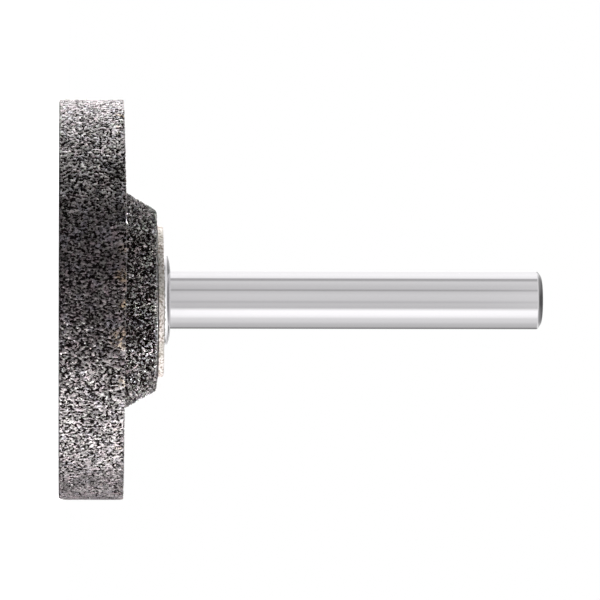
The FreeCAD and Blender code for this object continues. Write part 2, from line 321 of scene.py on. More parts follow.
def add_node(tree, kind, inputs=(), **settings):
    """Node of a kind, with its settings, and each input linked to a socket or set to a value."""
    made = tree.nodes.new(kind)
    for name, value in settings.items():
        setattr(made, name, value)
    for key, value in dict(inputs).items():
        if isinstance(value, bpy.types.NodeSocket):
            tree.links.new(value, made.inputs[key])
        else:
            made.inputs[key].default_value = value
    return made


def calculate(tree, operation, *values):
    """Math node on one to three values."""
    return add_node(tree, "ShaderNodeMath", enumerate(values), operation=operation).outputs[0]


def times(tree, product, *factors):
    """Product of values."""
    for factor in factors:
        product = calculate(tree, "MULTIPLY", product, factor)
    return product


def vector_maths(tree, operation, *values):
    """Vector Math node, with its vector result."""
    made = add_node(tree, "ShaderNodeVectorMath", enumerate(values), operation=operation)
    return made.outputs["Vector"]


def scaled(tree, vector, factor):
    """Vector times a value."""
    inputs = {0: vector, "Scale": factor}
    return add_node(tree, "ShaderNodeVectorMath", inputs, operation="SCALE").outputs["Vector"]


def axes(tree, vector):
    """X, Y and Z of a vector, as sockets by name."""
    return add_node(tree, "ShaderNodeSeparateXYZ", {0: vector}).outputs


def opaque(value):
    """A colour with its alpha, or a socket as it is."""
    return value if isinstance(value, bpy.types.NodeSocket) else (*value, 1.0)


def mix_colours(tree, factor, first, second, blend="MIX"):
    """Mix of two colours, each a socket or red, green and blue."""
    inputs = {0: factor, 6: opaque(first), 7: opaque(second)}
    return add_node(tree, "ShaderNodeMix", inputs, data_type="RGBA", blend_type=blend).outputs[2]


def mix_values(tree, factor, first, second):
    """Mix of two values."""
    inputs = {0: factor, 2: first, 3: second}
    return add_node(tree, "ShaderNodeMix", inputs, data_type="FLOAT").outputs[0]


def remap(tree, value, from_low, from_high, to_low=0.0, to_high=1.0, smooth=False):
    """Map Range node, held at its ends."""
    made = add_node(
        tree,
        "ShaderNodeMapRange",
        {0: value, 1: from_low, 2: from_high, 3: to_low, 4: to_high},
        interpolation_type="SMOOTHSTEP" if smooth else "LINEAR",
    )
    return made.outputs["Result"]


def noise(tree, vector, scale, detail=2.0, roughness=0.5):
    """Noise over a place, as a value."""
    inputs = {"Vector": vector, "Scale": scale, "Detail": detail, "Roughness": roughness}
    return add_node(tree, "ShaderNodeTexNoise", inputs).outputs[0]


def cells(tree, vector, scale, **settings):
    """Outputs of a Voronoi texture."""
    inputs = {"Vector": vector, "Scale": scale}
    return add_node(tree, "ShaderNodeTexVoronoi", inputs, **settings).outputs


def bumped(tree, height, distance, strength=1.0, **inputs):
    """Normal that a height bends."""
    inputs.update(Height=height, Distance=distance, Strength=strength)
    return add_node(tree, "ShaderNodeBump", inputs).outputs[0]


def attribute(tree, name):
    """A vector that is kept on a piece's points."""
    return add_node(tree, "ShaderNodeAttribute", attribute_name=name).outputs["Vector"]


def placed_group(tree, name, inputs):
    """Outputs of one of the shader groups."""
    return add_node(tree, "ShaderNodeGroup", inputs, node_tree=bpy.data.node_groups[name]).outputs


def group_sockets(tree, inputs, outputs):
    """Named sockets of a node group, each a name, a type and, for an input, its default."""
    for name, kind, default in inputs:
        socket = tree.interface.new_socket(name, in_out="INPUT", socket_type=kind)
        if default is not None:
            socket.default_value = default
    for name, kind in outputs:
        tree.interface.new_socket(name, in_out="OUTPUT", socket_type=kind)
    entry = tree.nodes.new("NodeGroupInput")
    leave = tree.nodes.new("NodeGroupOutput")
    return entry.outputs, leave


def round_corners(corners, facets=6):
    """Outline through corners (radius, height, rounding), with each rounding as an arc."""
    outline = []
    for index, (x, y, rounding) in enumerate(corners):
        corner = Vector((x, y))
        if not rounding:
            outline.append(corner)
            continue
        before = Vector(corners[index - 1][:2])
        after = Vector(corners[(index + 1) % len(corners)][:2])
        into = (before - corner).normalized()
        out = (after - corner).normalized()
        half = into.angle(out) / 2
        centre = corner + (into + out).normalized() * rounding / math.sin(half)
        start = corner + into * rounding / math.tan(half) - centre
        turn = start.angle_signed(corner + out * rounding / math.tan(half) - centre)
        for step in range(facets + 1):
            outline.append(centre + Matrix.Rotation(-turn * step / facets, 2) @ start)
    return outline


def divide(outline, step, closed=False):
    """Outline with its long runs divided into steps of about one length."""
    ends = outline[1:] + outline[:1] if closed else outline[1:]
    fine = []
    for start, end in zip(outline, ends):
        count = max(1, round((end - start).length / step))
        fine += [start.lerp(end, index / count) for index in range(count)]
    return fine if closed else fine + [outline[-1]]


def lathe(name, outline, segments, shape=None, closed=False):
    """Mesh turned about Z from an outline of (radius, height), anticlockwise in its own plane.

    A point on the axis becomes a single pole. shape, where given, moves a point: it takes the
    angle, the radius and the height, and gives a radius and a height.
    """
    vertices = []
    rings = []
    for radius, height in outline:
        if radius < 1e-9:
            rings.append([len(vertices)] * segments)
            vertices.append((0.0, 0.0, height))
            continue
        rings.append(list(range(len(vertices), len(vertices) + segments)))
        for index in range(segments):
            angle = 2 * math.pi * index / segments
            at_radius, at_height = shape(angle, radius, height) if shape else (radius, height)
            vertices.append(
                (at_radius * math.sin(angle), -at_radius * math.cos(angle), at_height)
            )
    faces = []
    pairs = list(zip(rings, rings[1:] + rings[:1])) if closed else list(zip(rings, rings[1:]))
    for low, high in pairs:
        for index in range(segments):
            following = (index + 1) % segments
            corners = [low[index], low[following], high[following], high[index]]
            faces.append([c for k, c in enumerate(corners) if c != corners[k - 1]])
    mesh = bpy.data.meshes.new(name)
    mesh.from_pydata(vertices, [], faces)
    return mesh


def add_object(mesh):
    """Object in the scene for a mesh, with its name."""
    made = bpy.data.objects.new(mesh.name, mesh)
    bpy.context.scene.collection.objects.link(made)
    return made


def smooth(mesh, crease_degrees=30):
    """Smooth shading, with the outline's own corners kept sharp."""
    mesh.polygons.foreach_set("use_smooth", [True] * len(mesh.polygons))
    mesh.set_sharp_from_angle(angle=math.radians(crease_degrees))


def finish_piece(piece, material, node):
    """A piece rides on the tool's one body and stands for a CAD node."""
    if piece.data.materials:
        piece.data.materials[0] = material
    else:
        piece.data.materials.append(material)
    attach(piece, "root")
    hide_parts(node)


def turned_room(low, high):
    """Radius, foot and top that a turned piece may have in its node's box."""
    return high.x - SKIN_GAP, low.z + SKIN_GAP, high.z - SKIN_GAP


def wheel_radius():
    """Radius of the disc."""
    return min(WHEEL_HIGH.x, WHEEL_HIGH.y, -WHEEL_LOW.x, -WHEEL_LOW.y) - SKIN_GAP


def wheel_corners(sizes, inset):
    """Outside of the wheel from the centre of its front to the edge of the washer's seat."""
    radius = wheel_radius()
    rounding = sizes.rim_rounding
    slope = math.atan2(
        sizes.boss_root_radius - sizes.boss_face_radius, WHEEL_HIGH.z - sizes.disc_thickness
    )
    cone_shift = inset / math.cos(slope) - inset * math.tan(slope)
    return [
        (0.0, inset + SKIN_GAP, 0.0),
        (radius - inset, inset + SKIN_GAP, rounding),
        (radius - inset, sizes.disc_thickness - inset, rounding),
        (sizes.boss_root_radius - cone_shift, sizes.disc_thickness - inset, sizes.root_hollow),
        (
            sizes.boss_face_radius - cone_shift,
            WHEEL_HIGH.z - SKIN_GAP - inset,
            sizes.shoulder_rounding,
        ),
        (BLOTTER_HIGH.x * SEAT_SHARE, WHEEL_HIGH.z - SKIN_GAP - inset, 0.0),
    ]


def porous_mass(tree, place, grain_size, openness):
    """Nodes for sintered grain: a mask of its pores, its domes and a fine roughness.

    The same nodes serve the geometry and the materials, so that what is sunk also has painted shade.
    """
    place = vector_maths(tree, "MULTIPLY", place, GRAIN_STRETCH)
    scale = calculate(tree, "DIVIDE", 1.0, grain_size)
    inputs = {"Vector": place, "Scale": times(tree, scale, 1.6), "Detail": 1.0}
    drift = add_node(tree, "ShaderNodeTexNoise", inputs).outputs["Color"]
    drift = vector_maths(tree, "SUBTRACT", drift, MIDDLE)
    drift = scaled(tree, drift, times(tree, grain_size, 1.1))
    warped = vector_maths(tree, "ADD", place, drift)
    edge = cells(tree, warped, times(tree, scale, 0.8), feature="DISTANCE_TO_EDGE")["Distance"]
    crack = remap(tree, edge, 0.02, 0.16, 0.08, 0.0)
    body = noise(tree, warped, times(tree, scale, 1.05), detail=1.2)
    level = calculate(tree, "SUBTRACT", body, crack)
    limit = calculate(tree, "MULTIPLY_ADD", openness, 0.25, 0.32)
    above = calculate(tree, "SUBTRACT", level, limit)
    return {
        "Pores": remap(tree, above, -0.03, 0.02, 1.0, 0.0, smooth=True),
        "Domes": remap(tree, above, -0.02, 0.16, smooth=True),
        "Fine": noise(tree, place, times(tree, scale, 2.6)),
        "Warped": warped,
    }


def skin_tree():
    """Geometry nodes that sink pores and grain relief into a finely divided skin."""
    tree = bpy.data.node_groups.new("Porous skin", "GeometryNodeTree")
    given, leave = group_sockets(
        tree,
        [
            ("Geometry", "NodeSocketGeometry", None),
            *GRAIN_SOCKETS,
            ("Pore Depth", "NodeSocketFloat", 0.2 * MM),
            ("Relief", "NodeSocketFloat", 0.05 * MM),
            ("Material", "NodeSocketMaterial", None),
        ],
        [("Geometry", "NodeSocketGeometry")],
    )
    place = tree.nodes.new("GeometryNodeInputPosition").outputs[0]
    kept = add_node(
        tree,
        "GeometryNodeStoreNamedAttribute",
        {"Geometry": given["Geometry"], "Name": "rest", "Value": place},
        data_type="FLOAT_VECTOR",
        domain="POINT",
    ).outputs[0]
    parts = porous_mass(tree, place, given["Grain Size"], given["Openness"])
    hollow = times(tree, parts["Pores"], given["Pore Depth"])
    between = calculate(tree, "SUBTRACT", 1.0, parts["Domes"])
    depth = calculate(tree, "MULTIPLY_ADD", between, given["Relief"], hollow)
    outward = add_node(
        tree, "GeometryNodeInputNamedAttribute", {"Name": "outward"}, data_type="FLOAT_VECTOR"
    ).outputs[0]
    offset = scaled(tree, outward, times(tree, depth, -1.0))
    sunk = add_node(tree, "GeometryNodeSetPosition", {"Geometry": kept, "Offset": offset})
    real = add_node(tree, "GeometryNodeRealizeInstances", {0: sunk.outputs[0]})
    coated = add_node(
        tree, "GeometryNodeSetMaterial", {"Geometry": real.outputs[0], "Material": given["Material"]}
    )
    tree.links.new(coated.outputs[0], leave.inputs[0])
    return tree


def run_tree(piece, tree, values):
    """The tree's result on a piece, as a plain mesh in a new object of the same name."""
    modifier = piece.modifiers.new(tree.name, "NODES")
    modifier.node_group = tree
    for item in tree.interface.items_tree:
        if item.in_out == "INPUT" and item.name in values:
            modifier[item.identifier] = values[item.name]
    name = piece.name
    graph = bpy.context.evaluated_depsgraph_get()
    mesh = bpy.data.meshes.new_from_object(piece.evaluated_get(graph))
    source = piece.data
    piece.modifiers.clear()
    bpy.data.objects.remove(piece)
    bpy.data.meshes.remove(source)
    mesh.name = name
    return add_object(mesh)


def new_material(name):
    """Empty material and its output node."""
    material = bpy.data.materials.new(name)
    material.use_nodes = True
    material.node_tree.nodes.clear()
    leave = material.node_tree.nodes.new("ShaderNodeOutputMaterial")
    return material, material.node_tree, leave


def principled(tree, leave, **inputs):
    """Principled shader whose inputs are named in plain words with underscores."""
    named = {name.replace("_", " ").title().replace("Ior", "IOR"): inputs[name] for name in inputs}
    shader = add_node(tree, "ShaderNodeBsdfPrincipled", named)
    tree.links.new(shader.outputs[0], leave.inputs["Surface"])
    return shader


def object_place(tree):
    """Place on a piece, in its own coordinates."""
    return tree.nodes.new("ShaderNodeTexCoord").outputs["Object"]


def tint_group():
    """Shader group: slow drifts of tint over the moulded mass, as a colour to multiply by."""
    tree = bpy.data.node_groups.new("Mineral tint", "ShaderNodeTree")
    given, leave = group_sockets(
        tree,
        [("Vector", "NodeSocketVector", None), ("Patch Size", "NodeSocketFloat", 1.2 * MM)],
        [("Colour", "NodeSocketColor")],
    )
    scale = calculate(tree, "DIVIDE", 1.0, given["Patch Size"])
    result = WHITE
    for shift, tint, threshold in [
        ((0.0, 0.0, 0.0), (1.16, 0.98, 1.08), 0.54),
        ((0.031, 0.007, 0.013), (0.94, 1.05, 0.94), 0.56),
        ((0.011, 0.043, 0.029), (0.93, 0.97, 1.12), 0.58),
        ((0.057, 0.023, 0.041), (1.35, 1.1, 0.84), 0.72),
    ]:
        cloud = noise(tree, vector_maths(tree, "ADD", given["Vector"], shift), scale)
        mask = remap(tree, cloud, threshold - 0.04, threshold + 0.06, smooth=True)
        result = mix_colours(tree, mask, result, tint)
    tree.links.new(result, leave.inputs["Colour"])
    return tree


def porous_group():
    """Shader group around the nodes of the porous mass."""
    tree = bpy.data.node_groups.new("Porous mass", "ShaderNodeTree")
    masks = [(name, "NodeSocketFloat") for name in ("Pores", "Domes", "Fine", "Tone", "Speck")]
    given, leave = group_sockets(
        tree,
        [("Vector", "NodeSocketVector", None), *GRAIN_SOCKETS],
        [*masks, ("Facet", "NodeSocketColor")],
    )
    parts = porous_mass(tree, given["Vector"], given["Grain Size"], given["Openness"])
    scale = calculate(tree, "DIVIDE", 1.0, given["Grain Size"])
    tone = axes(tree, cells(tree, parts["Warped"], scale)["Color"])["X"]
    small = cells(tree, given["Vector"], times(tree, scale, 1.6))
    chance = axes(tree, small["Color"])["X"]
    near = remap(tree, small["Distance"], 0.25, 0.5, 1.0, 0.0)
    speck = times(tree, remap(tree, chance, 0.84, 0.92), near)
    results = {**parts, "Tone": tone, "Speck": speck, "Facet": small["Color"]}
    for socket in leave.inputs:
        if socket.name in results:
            tree.links.new(results[socket.name], socket)
    return tree


def stain_mask(tree, rest, mass, rim_edge):
    """Brown stain: patches along the back edge of the disc, and a few clumps on its rim."""
    below = calculate(tree, "SUBTRACT", axes(tree, rest)["Z"], rim_edge - mass.stain_drop)
    off = calculate(tree, "ABSOLUTE", below)
    patches = remap(tree, noise(tree, rest, 1 / mass.stain_patch), 0.6, 0.75)
    reach = mass.stain_reach
    stained = times(tree, remap(tree, off, 0.3 * reach, reach, 1.0, 0.0), patches)
    crumbs = remap(tree, noise(tree, rest, 1 / mass.stain_crumb, detail=3.0), 0.38, 0.52)
    for azimuth, height, reach in CLUMPS:
        spot = direction(azimuth) * wheel_radius() + Vector((0, 0, height * MM))
        away = add_node(tree, "ShaderNodeVectorMath", {0: rest, 1: spot}, operation="DISTANCE")
        clump = remap(tree, away.outputs["Value"], 0.4 * reach * MM, reach * MM, 1.0, 0.0)
        stained = calculate(tree, "MAXIMUM", stained, times(tree, clump, crumbs))
    return stained


def grain_normal(tree, parts, mass, face):
    """Normal of the grain: the surface's own, a lean for each facet, and the finest relief."""
    sunk = times(tree, parts["Pores"], -mass.pore_bump)
    height = calculate(tree, "MULTIPLY_ADD", parts["Domes"], face.relief, sunk)
    height = calculate(tree, "MULTIPLY_ADD", parts["Fine"], mass.fine_relief, height)
    facing = tree.nodes.new("ShaderNodeNewGeometry").outputs["Normal"]
    inputs = {0: face.flatness, 4: facing, 5: attribute(tree, "outward")}
    even = add_node(tree, "ShaderNodeMix", inputs, data_type="VECTOR").outputs[1]
    lean = scaled(tree, vector_maths(tree, "SUBTRACT", parts["Facet"], MIDDLE), face.lean)
    leaning = vector_maths(tree, "NORMALIZE", vector_maths(tree, "ADD", even, lean))
    return bumped(tree, height, 1.0, Normal=leaning)


def mass_material(name, mass, face, rim_edge):
    """Sintered grain: a tone and a lean for each facet, painted shade in the pores and a stained edge.
    """
    material, tree, leave = new_material(name)
    rest = attribute(tree, "rest")
    grain = {"Vector": rest, "Grain Size": face.grain, "Openness": face.openness}
    parts = placed_group(tree, "Porous mass", grain)
    pores = parts["Pores"]
    tone = parts["Tone"]
    tint = placed_group(tree, "Mineral tint", {"Vector": rest})["Colour"]
    broad = remap(tree, noise(tree, rest, 1 / mass.tone_patch, detail=1.0), 0.4, 0.6, 0.8, 1.2)
    level = times(tree, remap(tree, parts["Fine"], 0.3, 0.7, 0.7, 1.3), face.gain, broad)
    base = mix_colours(tree, tone, mass.dark, mass.middle)
    base = mix_colours(tree, parts["Speck"], base, mass.light)
    base = mix_colours(tree, 1.0, base, tint, "MULTIPLY")
    base = mix_colours(tree, 1.0, base, level, "MULTIPLY")
    rust = mix_colours(tree, tone, mass.stain_dark, mass.stain)
    base = mix_colours(tree, stain_mask(tree, rest, mass, rim_edge), base, rust)
    # Shade is painted into the pores, towards the bond's colour, more strongly in some patches
    depth = remap(tree, noise(tree, rest, 1 / mass.pore_patch, detail=1.0), 0.35, 0.55, 0.88, 1.0)
    base = mix_colours(tree, times(tree, pores, depth), base, mass.bond_and_pore_shade)
    gleam = remap(tree, tone, 0.0, 1.0, 0.4 * face.shine, 1.6 * face.shine)
    principled(
        tree,
        leave,
        base_color=base,
        roughness=remap(tree, pores, 0.0, 1.0, face.roughness, 0.9),
        specular_ior_level=times(tree, gleam, remap(tree, pores, 0.0, 0.6, 1.0, 0.0), broad),
        ior=face.index,
        normal=grain_normal(tree, parts, mass, face),
    )
    return material


def core_material(mass, grain_size):
    """Dark mass inside the wheel."""
    material, tree, leave = new_material("Core")
    speck = noise(tree, object_place(tree), 1 / grain_size, detail=3.0)
    base = mix_colours(tree, speck, mass.bond_and_pore_shade, mass.dark)
    principled(tree, leave, base_color=base, roughness=0.9, specular_ior_level=0.1)
    return material


def foot_shade_mask(tree, place, low, height):
    """Painted shade at a piece's foot: uneven, narrower on one side, 1 at the foot, 0 above."""
    ragged = 0.35 * MM
    narrow_side = -5.0 * MM
    wide_side = 2.0 * MM
    parts = axes(tree, place)
    band = remap(tree, noise(tree, place, 1 / ragged), 0.3, 0.7, 0.7 * height, 1.3 * height)
    band = times(tree, band, remap(tree, parts["X"], narrow_side, wide_side, 0.35, 1.0))
    above = calculate(tree, "DIVIDE", calculate(tree, "SUBTRACT", parts["Z"], low), band)
    return remap(tree, above, 0.8, 1.2, 1.0, 0.0)


def steel_material(name, steel, roughness, line_size, foot=None):
    """Steel with fine lines round the axis and, given low end and height, painted shade at its foot."""
    material, tree, leave = new_material(name)
    place = object_place(tree)
    round_axis = vector_maths(tree, "MULTIPLY", place, (0.02, 0.02, 1.0))
    lines = noise(tree, round_axis, 1 / line_size, detail=3.0, roughness=0.7)
    base = opaque(steel.colour)
    # Shade painted at the foot, where the collar meets the washer
    if foot:
        base = mix_colours(tree, foot_shade_mask(tree, place, *foot), steel.colour, steel.collar_shade)
    principled(
        tree,
        leave,
        base_color=base,
        metallic=1.0,
        roughness=remap(tree, lines, 0.3, 0.7, roughness * 0.8, roughness * 1.2),
        normal=bumped(tree, lines, steel.line_depth, 0.3),
    )
    return material


def fibre_material(blotter):
    """Pressed fibre: pale, with short darker fibres, dull patches and painted shade at its foot."""
    material, tree, leave = new_material("Pressed fibre")
    place = object_place(tree)
    fibres = noise(tree, place, 1 / blotter.fibre_size, detail=4.0, roughness=0.65)
    dark = remap(tree, fibres, 0.45, 0.6, smooth=True)
    base = mix_colours(tree, dark, blotter.pale, blotter.brown)
    patches = noise(tree, place, 1 / blotter.patch_size)
    base = mix_colours(tree, remap(tree, patches, 0.45, 0.6, 0.0, 0.3, smooth=True), base, blotter.grey)
    # Shade painted at the washer's foot, where it meets the boss
    washer_shade = foot_shade_mask(tree, place, BLOTTER_LOW.z, blotter.foot)
    principled(
        tree,
        leave,
        base_color=mix_colours(tree, washer_shade, base, blotter.washer_shade),
        roughness=0.9,
        specular_ior_level=0.2,
        normal=bumped(tree, fibres, blotter.relief, 0.6),
    )
    return material


def cement_material():
    """Grey cement round the tail, which only a section would show."""
    grit_size = 0.4 * MM
    material, tree, leave = new_material("Bonding cement")
    grit = noise(tree, object_place(tree), 1 / grit_size, detail=4.0)
    base = mix_colours(tree, grit, (0.36, 0.34, 0.30), (0.52, 0.50, 0.46))
    normal = bumped(tree, grit, grit_size / 20)
    principled(tree, leave, base_color=base, roughness=0.9, normal=normal)
    return material


def floor_material():
    """Floor that keeps the tool's shadow, with a glow for the camera alone that makes it white."""
    material, tree, leave = new_material("Studio floor")
    paper = add_node(tree, "ShaderNodeBsdfDiffuse", {"Color": (0.8, 0.8, 0.8, 1.0)})
    seen = tree.nodes.new("ShaderNodeLightPath").outputs["Is Camera Ray"]
    glow = add_node(tree, "ShaderNodeEmission", {"Strength": times(tree, seen, 0.85)})
    both = add_node(tree, "ShaderNodeAddShader", {0: paper.outputs[0], 1: glow.outputs[0]})
    tree.links.new(both.outputs[0], leave.inputs["Surface"])
    return material


class SharedOperator:
    """What all the makers have in common."""

    bl_options = {"REGISTER", "UNDO"}

    def settings(self, context):
        """The groups of settings of the mounted point."""
        return context.scene.mounted_point_settings


class MOUNTEDPOINT_OT_core(SharedOperator, Operator):
    """Make the solid core of the wheel, with its blind bore"""

    bl_idname = "mounted_point.core"
    bl_label = "Wheel core"

    def execute(self, context):
        group = self.settings(context)
        sizes = group.wheel
        outside = round_corners(wheel_corners(sizes, sizes.core_depth))
        inside = [
            Vector((sizes.bore_radius, outside[-1].y)),
            Vector((sizes.bore_radius, sizes.bore_floor)),
            Vector((0.0, sizes.bore_floor)),
        ]
        outline = divide(outside + inside, sizes.core_step)
        segments = round(2 * math.pi * wheel_radius() / sizes.core_step)
        mesh = lathe("wheel_core", outline, segments)
        smooth(mesh)
        material = core_material(group.mass, group.dressed.grain)
        finish_piece(add_object(mesh), material, "abrasive_wheel")
        return {"FINISHED"}


def ring_count(radius, count):
    """Points round a ring of the skin: the full number at the rim, half at each halving inwards."""
    widest = FULL_SHARE * wheel_radius()
    while radius < widest and count % 2 == 0:
        widest /= 2
        count //= 2
    return count if radius > 1e-9 else 1


def lifted(sizes, azimuth, height):
    """Height on the wheel, raised where the disc is thicker and fading up the boss."""
    off = (azimuth - sizes.lift_azimuth + 180) % 360 - 180
    thick = sizes.disc_thickness
    along = height / thick if height < thick else (WHEEL_HIGH.z - height) / (WHEEL_HIGH.z - thick)
    return height + sizes.lift * math.exp(-((off / sizes.lift_spread) ** 2)) * max(0.0, along)


def clamp(value):
    """A value held between 0 and 1."""
    return min(1.0, max(0.0, value))


def swollen(sizes, azimuth, radius, height):
    """Growth of the boss's radius and height on the side where it stands out; none on the disc."""
    aside = clamp(math.cos(math.radians(azimuth - sizes.swell_azimuth)))
    above = height - sizes.disc_thickness
    up = clamp(above / (WHEEL_HIGH.z - sizes.disc_thickness))
    inside = clamp((sizes.boss_face_radius - radius - sizes.swell_start) / sizes.swell_run)
    growth = sizes.swell * aside * clamp(above / sizes.root_hollow)
    return growth * (1 + up), growth * inside


def worn(sizes, azimuth, radius, height):
    """Wear of the disc's two edges, inwards and towards the middle of the rim."""
    front = height < sizes.disc_thickness / 2
    along = height if front else height - sizes.disc_thickness
    away = math.hypot(wheel_radius() - radius, along)
    aside = math.radians(azimuth - sizes.wear_azimuth)
    least = sizes.least_wear
    side = least + (1 - least) * clamp(math.cos(aside)) if front else sizes.back_wear
    waves = sum(math.sin(count * aside + start) for count, start in RIPPLES)
    uneven = 1 + sizes.wear_ripple * waves
    depth = sizes.wear * side * uneven * clamp(1 - away / sizes.wear_reach)
    return depth, depth if front else -depth


def skin_strip(name, sizes, points, normals, count):
    """Finely divided strip of the wheel's skin, with the outward direction kept on its points."""
    vertices = []
    outward = []
    rings = []
    for point, normal in zip(points, normals):
        segments = ring_count(point.x, count)
        rings.append(range(len(vertices), len(vertices) + segments))
        for index in range(segments):
            angle = 2 * math.pi * index / segments
            across = Vector((math.sin(angle), -math.cos(angle), 0.0))
            azimuth = -math.degrees(angle)
            wider, higher = swollen(sizes, azimuth, point.x, point.y)
            inwards, along = worn(sizes, azimuth, point.x, point.y)
            place = across * (point.x + wider - inwards)
            place.z = lifted(sizes, azimuth, point.y) + higher + along
            vertices.append(place)
            outward.append((across.x * normal.x, across.y * normal.x, normal.y))
    faces = []
    for low, high in zip(rings, rings[1:]):
        faces += ring_faces(low, high)
    mesh = bpy.data.meshes.new(name)
    mesh.from_pydata(vertices, [], faces)
    kept = mesh.attributes.new("outward", "FLOAT_VECTOR", "POINT")
    kept.data.foreach_set("vector", [value for each in outward for value in each])
    mesh.polygons.foreach_set("use_smooth", [True] * len(mesh.polygons))
    return mesh


def ring_faces(low, high):
    """Faces between two rings, where one has as many points as the other, half or just one."""
    few, many = sorted((low, high), key=len)
    faces = []
    for index in range(len(many)):
        following = (index + 1) % len(many)
        if len(few) == len(many):
            corners = [many[index], many[following], few[following], few[index]]
        elif len(few) == 1:
            corners = [many[index], many[following], few[0]]
        elif index % 2 == 0:
            corners = [many[index], many[following], few[index // 2]]
        else:
            after = few[(index // 2 + 1) % len(few)]
            corners = [many[index], many[following], after, few[index // 2]]
        faces.append(corners if many is low else corners[::-1])
    return faces


def outline_normals(outline):
    """Outward direction at each point of an anticlockwise outline, across its neighbours."""
    normals = []
    for index, point in enumerate(outline):
        before = outline[max(index - 1, 0)]
        after = outline[min(index + 1, len(outline) - 1)]
        along = ((point - before).normalized() + (after - point).normalized()).normalized()
        normals.append(Vector((along.y, -along.x)))
    return normals


class MOUNTEDPOINT_OT_skin(SharedOperator, Operator):
    """Make the porous skin of the wheel, face by face"""

    bl_idname = "mounted_point.skin"
    bl_label = "Porous skin"

    def execute(self, context):
        group = self.settings(context)
        sizes = group.wheel
        mass = group.mass
        faces = {"dressed": group.dressed, "moulded": group.moulded}
        materials = {
            kind: mass_material(kind.title() + " mass", mass, face, sizes.disc_thickness)
            for kind, face in faces.items()
        }
        outline = divide(round_corners(wheel_corners(sizes, 0.0)), mass.step)
        normals = outline_normals(outline)
        inner = wheel_radius() - sizes.rim_rounding - SKIN_GAP
        rim = [k for k, p in enumerate(outline) if p.x > inner]
        first = rim[0]
        last = rim[-1]
        root = next(
            k for k, p in enumerate(outline)
            if k > last and p.x < sizes.boss_root_radius + 2 * sizes.root_hollow
        )
        around = 2 * math.pi * wheel_radius() / mass.step
        count = HALVINGS * round(around / HALVINGS)
        tree = skin_tree()
        strips = [
            ("front_face_skin", 0, first, 2.0, "dressed"),
            ("rim_skin", first, last, 1.0, "dressed"),
            ("back_face_skin", last, root, 1.3, "moulded"),
            ("boss_skin", root, len(outline) - 1, 1.0, "moulded"),
        ]
        for name, start, end, coarseness, kind in strips:
            chosen = [start]
            for index in range(start + 1, end):
                if (outline[index] - outline[chosen[-1]]).length > mass.step * (coarseness - 0.05):
                    chosen.append(index)
            chosen.append(end)
            points = [outline[k] for k in chosen]
            mesh = skin_strip(name, sizes, points, [normals[k] for k in chosen], count)
            face = faces[kind]
            values = {
                "Grain Size": face.grain,
                "Openness": face.openness,
                "Pore Depth": face.depth,
                "Relief": face.relief,
                "Material": materials[kind],
            }
            piece = run_tree(add_object(mesh), tree, values)
            finish_piece(piece, materials[kind], "abrasive_wheel")
        return {"FINISHED"}


class MOUNTEDPOINT_OT_shank(SharedOperator, Operator):
    """Turn the ground shank, with its keyed tail"""

    bl_idname = "mounted_point.shank"
    bl_label = "Shank"

    def execute(self, context):
        steel = self.settings(context).steel
        radius, low, tip = turned_room(SHANK_LOW, SHANK_HIGH)
        tail = steel.tail_radius
        shoulder = COLLAR_HIGH.z
        edge = radius - steel.tip_bevel
        crown_radius = (radius**2 + steel.tip_crown**2) / (2 * steel.tip_crown)

        def crown(at_radius):
            """Height of the crowned end."""
            return tip - crown_radius + math.sqrt(crown_radius**2 - at_radius**2)

        outline = [
            (0.0, low),
            (tail - steel.tail_chamfer, low),
            (tail, low + steel.tail_chamfer),
            (tail, steel.groove_low),
            (steel.groove_radius, steel.groove_low),
            (steel.groove_radius, steel.groove_high),
            (tail, steel.groove_high),
            (tail, steel.flute_top),
            (tail, steel.flute_top + SKIN_GAP),
            (tail, shoulder),
            (radius, shoulder),
        ]
        run_in = 1 * MM
        facets = 10
        first_facet = 3
        corners = [
            (radius, shoulder + run_in, 0.0),
            (radius, crown(edge) - steel.tip_chamfer, steel.tip_rounding),
            (edge, crown(edge), 4 * steel.tip_rounding),
        ]
        for step in range(first_facet, facets + 1):
            inner = edge * (1 - step / facets)
            corners.append((inner, crown(inner), 0.0))
        outline += [tuple(point) for point in round_corners(corners)]
        reach = tail - steel.flute_depth + steel.flute_radius
        pitch = 2 * math.pi / steel.flute_count

        def keyed(angle, at_radius, at_height):
            """The tail's radius where a flute cuts it."""
            off = (angle + pitch / 2) % pitch - pitch / 2
            side = reach * math.sin(off)
            if at_height > steel.flute_top or abs(side) >= steel.flute_radius:
                return at_radius, at_height
            cut = reach * math.cos(off) - math.sqrt(steel.flute_radius**2 - side**2)
            return min(at_radius, cut), at_height

        mesh = lathe("ground_shank", [Vector(point) for point in outline], 256, keyed)
        smooth(mesh, 20)
        material = steel_material("Ground steel", steel, steel.roughness, steel.line_size)
        finish_piece(add_object(mesh), material, "shank")
        return {"FINISHED"}


